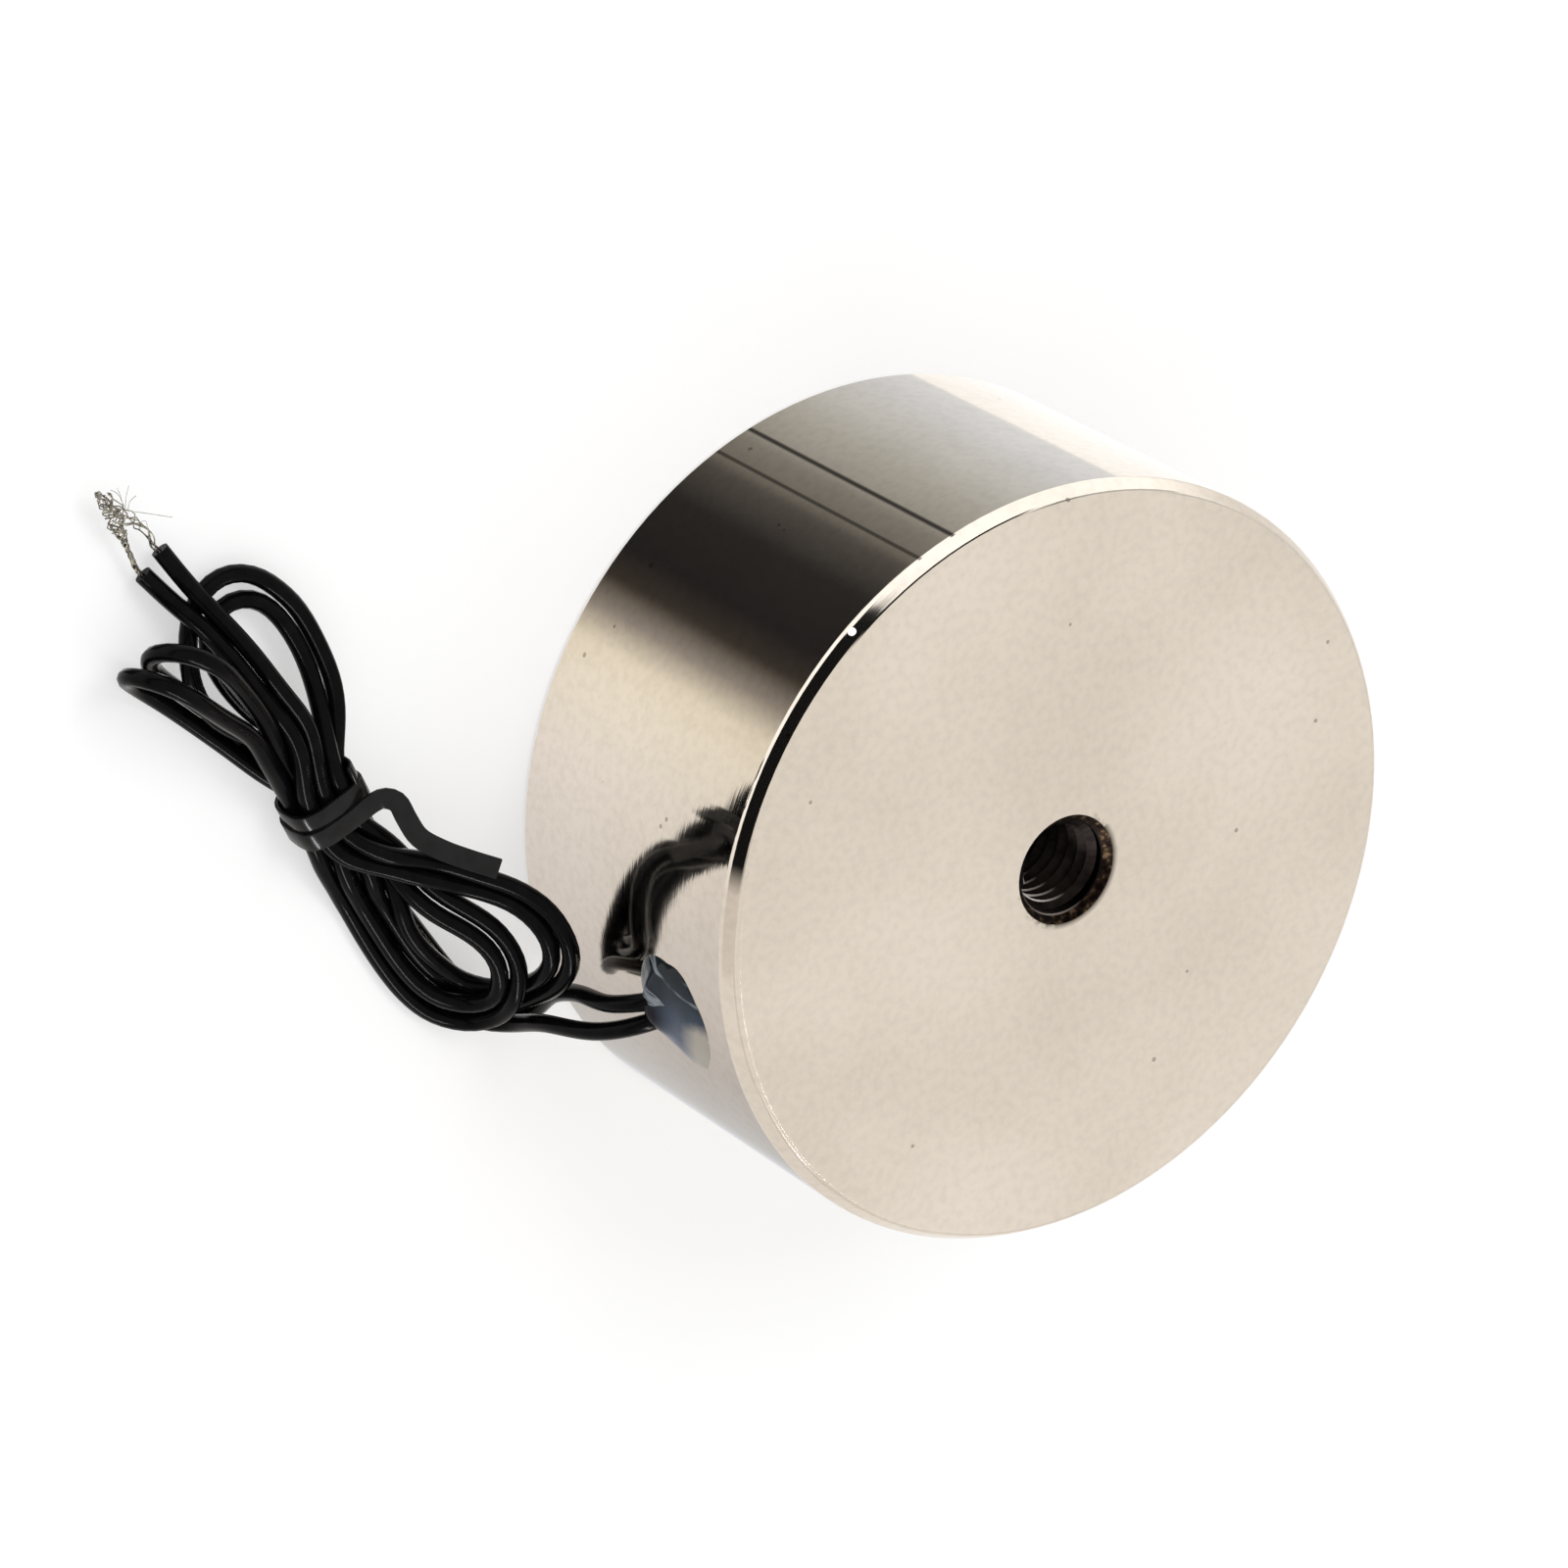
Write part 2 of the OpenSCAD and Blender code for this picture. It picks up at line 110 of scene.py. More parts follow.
FAR_B = [(45.9, -29.2, 3), (46.1, -33.4, 2.7), (47.2, -37.6, 2.2), (49.2, -41.1, 1.8), (51.5, -42.4, 1.6),
         (53.9, -42.1, 1.8), (55.8, -40.4, 2.3), (56.9, -37.4, 2.4), (57, -34.2, 2.4), (55.7, -31.3, 2.4)]
RAISED_A = [(46.1, -8.6, 2.4), (44.7, -4.2, 2.2), (42.9, -0.4, 2.3), (41, 2.3, 2.6), (39, 3.3, 4), (37.6, 2.5, 6.4),
            (36.9, 0.9, 9), (36.3, -0.8, 11), (35.7, -2.9, 12), (35.9, -5.2, 11.5), (36.7, -7.8, 10.5),
            (38.2, -9.8, 9), (40.6, -11.4, 7.6)]
RAISED_B = [(45.8, -8.6, 3.2), (44.5, -4.6, 3.3), (42.6, -1.2, 3.3), (40.5, 0.8, 4.1), (38.9, 1.1, 6),
            (37.8, -0.1, 8.4), (37.2, -1.6, 10.2), (36.8, -3.4, 10.8), (36.9, -5.5, 10.6), (37.8, -7.5, 9.3),
            (40.1, -9.6, 7.6)]
FOLDS = {"a": [SIDE_A, LOW_A, FAR_A, RAISED_A], "b": [SIDE_B, LOW_B, FAR_B, RAISED_B]}
ENDS = {
    "a": [(50.4, -28.7, 4.8), (51.2, -32.4, 4.6), (52.4, -36.4, 4.4), (54, -40.2, 3.6), (55.3, -43.4, 2.7),
          (56.5, -47, 1.6)],
    "b": [(51.2, -28.9, 4.8), (52.2, -32.1, 4.6), (53.6, -35.7, 4.4), (54.9, -39, 3.6), (56.6, -42.1, 2.5),
          (58.3, -45.6, 1.4)]}
SIDE_SIGN = {"a": -1, "b": 1}

# %% [markdown]
# `route` strings the points of one lead together. The inside stretch repeats the solids'
# own points, and each pass through the tie is worked out from its place in the bundle.

# %% String the points of a lead together
def at_splice(sign, along):
    """A point beside the splice of one lead, by its distance along the sleeve."""
    a = math.radians(sign * SPLICE_ANGLE)
    return (SPLICE_R * math.cos(a) - sign * along * math.sin(a),
            SPLICE_R * math.sin(a) + sign * along * math.cos(a), SPLICE_Z)


def route(lead):
    s = SIDE_SIGN[lead]
    points = [at_splice(s, 1.5 - SLEEVE_L / 2), at_splice(s, -SLEEVE_L / 2), at_splice(s, -2.5 - SLEEVE_L / 2),
              (GROOVE_R - 1.3, s * 3.1, EXIT_Z + 0.4), (GROOVE_R - 0.1, s * 1.5, EXIT_Z + 0.4),
              (GROOVE_R + 1.5, s * 0.95, EXIT_Z + 0.2), (POT_R, s * EXIT_SIDE, EXIT_Z - EXIT_DROP)]
    points += OUTSIDE[lead] + ALONG_FLOOR[lead]
    way = 1
    for n, (across, row) in enumerate(PASSES[lead]):
        for step in IN_TIE[::way]:
            x, y = TIE_AT + ACROSS * across + ALONG * step
            points.append((x, y, ROW_Z[row]))
        points += FOLDS[lead][n] if n < 4 else ENDS[lead]
        way = -way
    return np.array(points, float)


def smooth_line(points, step=0.9):
    """A curve through the points, cut into equal steps."""
    ends = np.vstack([2 * points[0] - points[1], points, 2 * points[-1] - points[-2]])
    out = []
    for i in range(1, len(ends) - 2):
        p = ends[i - 1:i + 3]
        k = np.concatenate([[0], np.cumsum(np.linalg.norm(np.diff(p, axis=0), axis=1) ** 0.5)])
        for t in np.linspace(k[1], k[2], 16, endpoint=False):
            a = [((k[j + 1] - t) * p[j] + (t - k[j]) * p[j + 1]) / (k[j + 1] - k[j]) for j in range(3)]
            b = [((k[j + 2] - t) * a[j] + (t - k[j]) * a[j + 1]) / (k[j + 2] - k[j]) for j in range(2)]
            out.append(((k[2] - t) * b[0] + (t - k[1]) * b[1]) / (k[2] - k[1]))
    out = np.array(out + [points[-1]])
    run = np.concatenate([[0], np.cumsum(np.linalg.norm(np.diff(out, axis=0), axis=1))])
    at = np.linspace(0, run[-1], int(round(run[-1] / step)) + 1)
    return np.stack([np.interp(at, run, out[:, c]) for c in range(3)], axis=1)


lines = [smooth_line(route("a")), smooth_line(route("b"))]
print("points along the leads:", [len(line) for line in lines])

# %% [markdown]
# ## Settling the strands
# The measured runs cross here and there. A small relaxation pushes strands apart until they
# only touch, keeps every bend round, and holds them off the floor and the wall.

# %% Settle the strands
def settle(lines, rounds=300, gap=LEAD_D + 0.04, floor=LEAD_D / 2 + 0.01, wall=POT_R + LEAD_D / 2 + 0.05):
    """Moves the points of the lines until nothing is nearer than a gap, the floor or the wall allows."""
    sizes = [len(line) for line in lines]
    p = np.vstack(lines)
    which = np.repeat(np.arange(len(lines)), sizes)
    place = np.concatenate([np.arange(n) for n in sizes])
    steps = [np.linalg.norm(np.diff(line, axis=0), axis=1).mean() for line in lines]
    i, j = np.triu_indices(len(p), 1)
    apart = (which[i] != which[j]) | (np.abs(place[i] - place[j]) > 5)
    i, j = i[apart], j[apart]
    start = p.copy()
    in_tie = (np.abs((p[:, :2] - TIE_AT) @ ALONG - 1) < 2) & (np.abs((p[:, :2] - TIE_AT) @ ACROSS) < 4)
    ends = np.concatenate([[True], which[1:] != which[:-1]]) | np.concatenate([which[1:] != which[:-1], [True]])
    free = ~(in_tie | ends | (place < 20))
    for n in range(rounds):
        d = p[i] - p[j]
        dist = np.linalg.norm(d, axis=1)
        near = dist < gap
        push = (0.5 * (gap - dist[near]) / np.maximum(dist[near], 1e-6))[:, None] * d[near]
        move, count = np.zeros_like(p), np.zeros(len(p))
        for side, sign in ((i[near], 1), (j[near], -1)):
            np.add.at(move, side, sign * push)
            np.add.at(count, side, 1)
        p += np.where(free[:, None], move / np.maximum(count, 1)[:, None], 0)
        first = 0
        for k, size in enumerate(sizes):
            q, f = p[first:first + size], free[first:first + size, None]
            bend = np.zeros_like(q)
            bend[2:-2] = (-q[:-4] + 4 * q[1:-3] - 6 * q[2:-2] + 4 * q[3:-1] - q[4:]) / 16
            q = q + 0.5 * bend * f
            link = q[1:] - q[:-1]
            link *= 0.3 * (1 - steps[k] / np.linalg.norm(link, axis=1, keepdims=True))
            q[:-1] += link * f[:-1]
            q[1:] -= link * f[1:]
            p[first:first + size] = q
            first += size
        p[free] += 0.008 * (start[free] - p[free])
        p[:, 2] = np.where(free, np.maximum(p[:, 2], floor), p[:, 2])
        out = np.hypot(p[:, 0], p[:, 1])
        close = free & (out < wall)
        p[close, :2] *= (wall / out[close])[:, None]
    print("nearest strands, mm:", round(float(np.linalg.norm(p[i] - p[j], axis=1).min()), 2))
    return np.split(p, np.cumsum(sizes)[:-1])


settled = settle(lines)
lengths = [float(np.linalg.norm(np.diff(line, axis=0), axis=1).sum()) for line in settled]
print("lead lengths, mm:", [round(x) for x in lengths])

# %% [markdown]
# ## Node trees
# `Graph` gives short names to the nodes that the finishes below need. A value that comes from
# another node is linked to its socket, and a plain number or colour is set on it.

# %% A helper for node trees
class Graph:
    def __init__(self, owner):
        owner.use_nodes = True
        self.nodes, self.links = owner.node_tree.nodes, owner.node_tree.links

    def feed(self, socket, value):
        if hasattr(value, "is_linked"):
            self.links.new(value, socket)
        else:
            socket.default_value = (*value, 1) if socket.type == "RGBA" else value

    def add(self, kind, **inputs):
        """One node of a kind, with its inputs by name."""
        node = self.nodes.new(kind)
        for key, value in inputs.items():
            self.feed(node.inputs[key.replace("_", " ")], value)
        return node

    def shader(self, **inputs):
        """Feeds the inputs of the surface shader."""
        for key, value in inputs.items():
            self.feed(self.nodes["Principled BSDF"].inputs[key.replace("_", " ")], value)

    def coords(self, kind="Object"):
        return self.add("ShaderNodeTexCoord").outputs[kind]

    def split(self, vector):
        return self.add("ShaderNodeSeparateXYZ", Vector=vector).outputs

    def math(self, operation, *values):
        node = self.add("ShaderNodeMath")
        node.operation = operation
        for socket, value in zip(node.inputs, values):
            self.feed(socket, value)
        return node.outputs[0]

    def times(self, *values):
        """The product of two or more values."""
        product = values[0]
        for value in values[1:]:
            product = self.math("MULTIPLY", product, value)
        return product

    def hypot(self, a, b):
        return self.math("SQRT", self.math("ADD", self.times(a, a), self.times(b, b)))

    def span(self, value, low, high, to_low=0.0, to_high=1.0):
        """Maps low..high to to_low..to_high and holds the value at both ends."""
        return self.add("ShaderNodeMapRange", Value=value, From_Min=low, From_Max=high,
                        To_Min=to_low, To_Max=to_high).outputs["Result"]

    def ramp(self, value, stops):
        """Colours, or plain levels, at places from 0 to 1."""
        node = self.add("ShaderNodeValToRGB", Fac=value)
        elements = node.color_ramp.elements
        while len(elements) < len(stops):
            elements.new(0.5)
        for element, (place, colour) in zip(elements, stops):
            element.position = place
            element.color = (*colour, 1) if hasattr(colour, "__len__") else (colour, colour, colour, 1)
        return node.outputs["Color"]

    def mix(self, share, a, b, how="MIX"):
        node = self.nodes.new("ShaderNodeMix")
        node.data_type, node.blend_type = "RGBA", how
        for socket, value in zip((node.inputs[0], node.inputs[6], node.inputs[7]), (share, a, b)):
            self.feed(socket, value)
        return node.outputs[2]

    def noise(self, vector, scale, detail=2, stretch=None):
        if stretch:
            vector = self.add("ShaderNodeMapping", Vector=vector, Scale=stretch).outputs["Vector"]
        return self.add("ShaderNodeTexNoise", Vector=vector, Scale=scale, Detail=detail).outputs["Fac"]

    def turned(self, vector):
        """How far round z a point is: 0.5 at x, and once through 0..1 in a full turn."""
        node = self.add("ShaderNodeTexGradient", Vector=vector)
        node.gradient_type = "RADIAL"
        return node.outputs["Fac"]

    def near(self, vector, point, reach):
        """1 within a reach of a point, in mm, and 0 beyond it."""
        node = self.add("ShaderNodeVectorMath")
        node.operation = "DISTANCE"
        self.feed(node.inputs[0], vector)
        self.feed(node.inputs[1], [c * MM for c in point])
        return self.math("LESS_THAN", node.outputs["Value"], reach * MM)

    def bump(self, height, strength, distance, **inputs):
        return self.add("ShaderNodeBump", Height=height, Strength=strength, Distance=distance,
                        **inputs).outputs["Normal"]


print("helper ready")

# %% [markdown]
# ## Materials
# Each finish is a node material with its own grain: noise for the colour, noise for the gloss
# and a fine bump. `finish` makes one and leaves room to add to it.

# %% Plain finishes
def finish(name, dark, light, rough=(0.3, 0.5), metal=0.0, scale=400, bump=0.1, depth=0.02, **sockets):
    mat = bpy.data.materials.new(name)
    graph = Graph(mat)
    coords = graph.coords()
    grain = graph.noise(coords, scale, 6)
    graph.shader(Metallic=metal, Base_Color=graph.ramp(grain, [(0.3, dark), (0.7, light)]),
                 Roughness=graph.span(grain, 0.0, 1.0, *rough),
                 Normal=graph.bump(graph.noise(coords, scale * 4), bump, depth * MM), **sockets)
    return mat


def dress(obj, mat):
    obj.data.materials.clear()
    obj.data.materials.append(mat)


pvc = finish("lead_pvc", (0.0012, 0.0012, 0.0016), (0.003, 0.003, 0.0036), (0.15, 0.24),
             scale=900, Specular_IOR_Level=0.05)
tinned = finish("tinned_copper", (0.02, 0.018, 0.015), (0.5, 0.47, 0.39), (0.22, 0.4), metal=1.0, scale=1900)
tie_black = finish("tie_strip", (0.003, 0.003, 0.003), (0.008, 0.008, 0.009), (0.14, 0.26),
                   scale=700, Specular_IOR_Level=0.2)
resin = finish("potting_resin", (0.012, 0.012, 0.013), (0.03, 0.03, 0.032), (0.25, 0.4), scale=200)
nylon = finish("bobbin_nylon", (0.62, 0.6, 0.55), (0.74, 0.72, 0.67), (0.4, 0.55))
copper = finish("enamelled_copper", (0.42, 0.14, 0.05), (0.62, 0.25, 0.1), (0.2, 0.35), metal=1.0)
tape = finish("coil_tape", (0.5, 0.36, 0.08), (0.66, 0.5, 0.14), (0.35, 0.5))
solder = finish("solder", (0.5, 0.5, 0.5), (0.68, 0.68, 0.67), (0.25, 0.4), metal=1.0)
sleeve = finish("sleeve", (0.015, 0.015, 0.016), (0.03, 0.03, 0.03), (0.4, 0.55))
print("materials:", len(bpy.data.materials))

# %% [markdown]
# ## The leads
# Each lead is one curve with a round section. It stands for the plain solids of that lead.

# %% Leads
def tube(name, points, radius, mat, sides=3):
    """A round curve through the points, which rides on the body."""
    curve = bpy.data.curves.new(name, "CURVE")
    curve.dimensions = "3D"
    curve.bevel_depth = radius * MM
    curve.bevel_resolution = sides
    curve.use_fill_caps = True
    spline = curve.splines.new("POLY")
    spline.points.add(len(points) - 1)
    for point, co in zip(spline.points, points):
        point.co = (co[0] * MM, co[1] * MM, co[2] * MM, 1)
    obj = bpy.data.objects.new(name, curve)
    bpy.context.collection.objects.link(obj)
    curve.materials.append(mat)
    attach(obj, "root")
    return obj


for lead, line in zip("ab", settled):
    obj = tube("insulated_lead_" + lead, line, LEAD_D / 2, pvc)
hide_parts("lead_a", "lead_hank", "lead_end_a")
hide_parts("lead_b", "lead_hank", "lead_end_b")

# %% [markdown]
# ## The bare ends
# Fine tinned wires leave each cut end in a loose twist, and both bundles run into one tangle.

# %% Bare wires
WIRE_R, HAIR_R = 0.055, 0.022
rng = np.random.default_rng(7)


def wires(name, middle, count, spread, twist, hairs=()):
    """Thin wires that wind round a middle line, as one mesh piece."""
    made = []
    line = smooth_line(np.array(middle, float), 0.35)
    t = np.linspace(0, 1, len(line))
    for n in range(count):
        phase = 2 * math.pi * n / count + rng.uniform(-0.4, 0.4)
        width = np.interp(t, [0, 0.35, 0.7, 1], spread) * rng.uniform(0.7, 1.15)
        turn = phase + twist * t * 2 * math.pi * rng.choice([-1, 1], p=[0.3, 0.7])
        wobble = 0.3 * np.interp(t, [0, 0.4, 0.6, 1], [0, 0.1, 1, 0.4]) * np.sin(t * rng.uniform(18, 34) + phase)
        p = line + np.stack([width * np.cos(turn) + wobble, 0.3 * wobble, width * np.sin(turn) * 0.8], axis=1)
        p[:, 2] = np.maximum(p[:, 2], WIRE_R + 0.02)
        made.append(tube(name + str(n), p, WIRE_R, tinned, 1))
    for n, hair in enumerate(hairs):
        made.append(tube("hair" + str(n), smooth_line(np.array(hair, float), 0.3), HAIR_R, tinned, 1))
    bpy.ops.object.select_all(action="DESELECT")
    for obj in made:
        obj.select_set(True)
    bpy.context.view_layer.objects.active = made[0]
    bpy.ops.object.convert(target="MESH")
    bpy.ops.object.join()
    obj = bpy.context.object
    obj.name = name
    dress(obj, tinned)
    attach(obj, "root")
    return obj


STRANDS_A = [(56.4, -46.6, 1.6), (57, -47.7, 1.8), (57.1, -48.4, 1.9), (57.5, -49.4, 2.1), (58.2, -50.3, 2.3),
             (58.9, -51.4, 2.4), (59.5, -52.7, 2.4), (59.9, -53.8, 2.4)]
STRANDS_B = [(58.3, -45.4, 1.4), (58.7, -46.3, 1.5), (58.9, -47.5, 1.5), (59.1, -48.6, 1.7), (59.4, -49.9, 1.9),
             (59.6, -51, 2.2), (60, -52.5, 2.4), (60.4, -53.6, 2.4), (60.6, -54.3, 2.4)]
# a few single wires that stand off the tangle
HAIRS = [[(58.9, -52, 2.6), (59, -53.3, 2.9), (59.2, -54.3, 3.2)],
         [(58.8, -52, 2.6), (58.6, -53.2, 3), (58.3, -54.1, 3.3)],
         [(58.7, -51.6, 2.6), (58.4, -52.7, 3), (57.9, -53, 3.2)],
         [(58.6, -51.8, 2.6), (57.4, -51.1, 2.8), (55.2, -49.6, 2.6)],
         [(58.8, -52.3, 2.6), (59.2, -53.7, 2.9), (59.7, -54.3, 3)],
         [(58.1, -50.2, 2.4), (57.5, -50.5, 2.7), (57.4, -49.5, 2.6)]]
bare_ends = {"a": wires("bare_wires_a", STRANDS_A, 6, [0.16, 0.3, 0.55, 0.3], 1.6, hairs=HAIRS),
             "b": wires("bare_wires_b", STRANDS_B, 9, [0.2, 0.17, 0.6, 0.1], 4.2)}
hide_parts("strands_a")
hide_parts("strands_b")
print("wires done")

# %% [markdown]
# ## The tie
# A flat strip is laid out as a grid, wrapped twice round the bundle and led off in a low arch
# to its square end on the raised fold. Solidify gives it its thickness.

# %% Tie strip
STRIP_W, STRIP_T, STRIP_EDGE = 1.7, 0.36, 0.09
# the bundle in the tie: half its width, half its height and the height of its middle
BUNDLE_W, BUNDLE_H, BUNDLE_Z = 3.2, 2.28, 2.98
WRAP_FROM, WRAP_TO, WRAP_STEP = -590, 106, 12
TAIL = [(POT_R + 13.2, -20.6, 6), (POT_R + 12.3, -20.1, 6.6), (POT_R + 12, -18.5, 7), (POT_R + 11.6, -16.8, 7.5),
        (POT_R + 10.3, -15.2, 8.2), (POT_R + 8.6, -13.7, 9), (POT_R + 6.6, -12.1, 9.8)]


def squash(value):
    """Turns a circle's sine or cosine into that of a rounded box."""
    return math.copysign(abs(value) ** 0.6, value)


wrap, facing = [], []
for degrees in range(WRAP_FROM, WRAP_TO, WRAP_STEP):
    c, d = math.cos(math.radians(degrees)), math.sin(math.radians(degrees))
    # the second turn lies on the first and a little beside it
    lap = 0.2 if degrees > -230 else 0.0
    x, y = TIE_AT + ACROSS * squash(c) * (BUNDLE_W + lap) + ALONG * (0.1 + (WRAP_TO - degrees) / 700 * 3)
    wrap.append((x, y, BUNDLE_Z + squash(d) * (BUNDLE_H + lap)))
    facing.append((ACROSS[0] * c, ACROSS[1] * c, d))
strip_points = np.array(wrap + TAIL, float)
middle = smooth_line(strip_points, 0.45)
turned = np.array(facing + [(0.1, -0.1, 1), (0.1, -0.35, 0.93)] + [(0.3, -0.4, 0.87)] * (len(TAIL) - 2), float)
knots = np.concatenate([[0], np.cumsum(np.linalg.norm(np.diff(strip_points, axis=0), axis=1))])
reach = np.linspace(0, knots[-1], len(middle))
turned = np.stack([np.interp(reach, knots, turned[:, c]) for c in range(3)], axis=1)
heading = np.gradient(middle, axis=0)
sideways = np.cross(heading, turned)
sideways /= np.linalg.norm(sideways, axis=1, keepdims=True)
cuts = len(middle) - 1
bpy.ops.mesh.primitive_grid_add(x_subdivisions=cuts, y_subdivisions=1, size=1)
strip = bpy.context.object
strip.name = "tie_strip"
for v in strip.data.vertices:
    i = round((v.co.x + 0.5) * cuts)
    v.co = Vector(middle[i] + sideways[i] * v.co.y * STRIP_W) * MM
thick = strip.modifiers.new("thick", "SOLIDIFY")
thick.thickness = STRIP_T * MM
thick.offset = 0
bpy.ops.object.modifier_apply(modifier="thick")
edge = strip.modifiers.new("edge", "BEVEL")
edge.width = STRIP_EDGE * MM
edge.segments = 2
edge.limit_method = "ANGLE"
edge.angle_limit = math.radians(50)
bpy.ops.object.modifier_apply(modifier="edge")
bpy.ops.object.shade_smooth_by_angle(angle=math.radians(40))
dress(strip, tie_black)
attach(strip, "root")
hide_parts("lead_tie")
print("tie faces:", len(strip.data.polygons))

# %% [markdown]
# ## Finishes on the solids
# The inner parts keep their solids and only take a finish each.

# %% Dress the inner parts
INNER = {"coil_bobbin": nylon, "coil_winding": copper, "coil_tape": tape, "potting_resin": resin,
         "winding_start": copper, "winding_finish": copper, "solder_joint_a": solder, "solder_joint_b": solder,
         "splice_sleeve_a": sleeve, "splice_sleeve_b": sleeve, "conductor_a": tinned, "conductor_b": tinned}
for node, mat in INNER.items():
    dress(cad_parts[node], mat)
print("dressed", len(INNER))

# %% [markdown]
# ## The nickel plate
# The side is a bright mirror with fine turning lines. The back face is duller and slightly
# wavy. Rust stains the lip of the threaded hole, and the plate has small pits near the rim.
# Two dark reflection lines on the side, the glint of a rim nick and the shade in the bore are painted into the colour.

# %% Nickel plate
BORE_R, MOUTH_R, BACK_R = 4.1, 4.68, 31.8
BORE_END = 8
# the two thin dark lines down the side are painted reflections of dark strips: place round z, half their width,
# strength
SIDE_REFLECTION_LINES = [(0.2666, 0.0016, 0.9), (0.2830, 0.0012, 0.7)]
# the next line: where a painted highlight marks a nick in the rim, and its reach in mm
NICK_GLINT_AT, NICK_GLINT_R = (14.2, -29.05, 29), 0.35
CHIP_AT, CHIP_R = (-4.6, -1.1, POT_H), 0.9


def nickel_plate():
    mat = bpy.data.materials.new("nickel_plate")
    graph = Graph(mat)
    coords = graph.coords()
    x, y, z = graph.split(coords)
    radius = graph.hypot(x, y)
    turned = graph.turned(coords)
    on_back = graph.times(graph.math("GREATER_THAN", z, (POT_H - 0.05) * MM),
                          graph.math("LESS_THAN", radius, BACK_R * MM))
    on_side = graph.math("GREATER_THAN", radius, (POT_R - 0.05) * MM)
    by_mouth = graph.math("GREATER_THAN", z, (POT_H - 3) * MM)
    # warm, faintly clouded metal with a fine mottle
    cloud = graph.noise(coords, 45, 5)
    mottle = graph.noise(coords, 1300, 6)
    plate = graph.ramp(cloud, [(0.32, (0.71, 0.645, 0.565)), (0.5, (0.765, 0.70, 0.615)), (0.68, (0.80, 0.735, 0.655))])
    colour = graph.mix(0.6, plate, graph.ramp(mottle, [(0.34, 0.88), (0.58, 1.0)]), "MULTIPLY")
    # pits: rare dark dots, more of them towards the rim
    cell = graph.add("ShaderNodeTexVoronoi", Vector=coords, Scale=420)
    chance = graph.add("ShaderNodeSeparateColor", Color=cell.outputs["Color"]).outputs[0]
    pit = graph.times(graph.math("LESS_THAN", cell.outputs["Distance"], 0.09),
                      graph.math("LESS_THAN", chance, graph.span(radius, 22 * MM, 31 * MM, 0.03, 0.22)))
    colour = graph.mix(graph.times(pit, 0.6), colour, (0.2, 0.165, 0.13))
    # painted reflection: two thin dark lines, reflections of dark strips, run down the side
    reflection_lines = 0.0
    for place, half, strength in SIDE_REFLECTION_LINES:
        off = graph.math("ABSOLUTE", graph.math("SUBTRACT", turned, place))
        reflection_lines = graph.math("MAXIMUM", reflection_lines, graph.span(off, half, half / 3, 0.0, strength))
    colour = graph.mix(graph.times(reflection_lines, on_side), colour, (0.015, 0.014, 0.013))
    # rust round the hole: a ring broken up by noise, strongest on the right of the hole
    grain = graph.noise(coords, 1500, 6)
    ring = graph.ramp(graph.times(radius, 100), [(0.36, 0.9), (0.46, 1.0), (0.485, 0.55), (0.52, 0.0)])
    right = graph.span(graph.math("SUBTRACT", graph.times(y, 0.85), graph.times(x, 0.52)), -3 * MM, 4.5 * MM)
    level = graph.math("ADD", graph.times(right, 0.6), grain)
    level = graph.math("ADD", level, graph.times(graph.near(coords, CHIP_AT, CHIP_R), 0.3))
    rust = graph.times(graph.ramp(level, [(0.66, 0.0), (0.92, 1.0)]), ring, by_mouth)
    rust_colour = graph.ramp(grain, [(0.40, (0.005, 0.003, 0.003)), (0.55, (0.02, 0.013, 0.008)),
                                     (0.66, (0.11, 0.07, 0.042))])
    colour = graph.mix(rust, colour, rust_colour)
    # the mouth of the hole is dark all round
    mouth = graph.times(graph.math("LESS_THAN", radius, MOUTH_R * MM), by_mouth)
    colour = graph.mix(mouth, colour, rust_colour)
    # painted shade: below its mouth the bore is painted near black, with one bright line where the thread starts as a
    # painted highlight
    shaded_bore = graph.times(graph.math("LESS_THAN", radius, BORE_R * MM), graph.math("GREATER_THAN", z, BORE_END * MM))
    colour = graph.mix(shaded_bore, colour, (0.008, 0.006, 0.006))
    # painted highlight: a bright line at the thread's start, only on the lit side of the bore
    lit_thread_edge = graph.ramp(graph.times(radius, 100), [(0.398, 0.0), (0.402, 1.0), (0.409, 1.0), (0.414, 0.0)])
    bore_lit_side = graph.ramp(turned, [(0.47, 0.0), (0.5, 0.8), (0.7, 0.7), (0.8, 0.0)])
    colour = graph.mix(graph.times(lit_thread_edge, bore_lit_side, by_mouth), colour, (0.42, 0.36, 0.33))
    # a nick in the rim whose glint is painted as a white, non-metal spot: a painted highlight
    nick_glint = graph.near(coords, NICK_GLINT_AT, NICK_GLINT_R)
    colour = graph.mix(nick_glint, colour, (1.0, 1.0, 1.0))
    # gloss: a mirror on the side, satin on the back, dull where it is rusty, at the mouth or in the bore
    rough = graph.nodes.new("ShaderNodeMix")
    graph.feed(rough.inputs[0], on_back)
    graph.feed(rough.inputs[2], graph.span(cloud, 0.0, 1.0, 0.035, 0.08))
    graph.feed(rough.inputs[3], graph.span(cloud, 0.0, 1.0, 0.26, 0.38))
    dull = graph.math("MAXIMUM", graph.math("MAXIMUM", rust, shaded_bore), mouth)
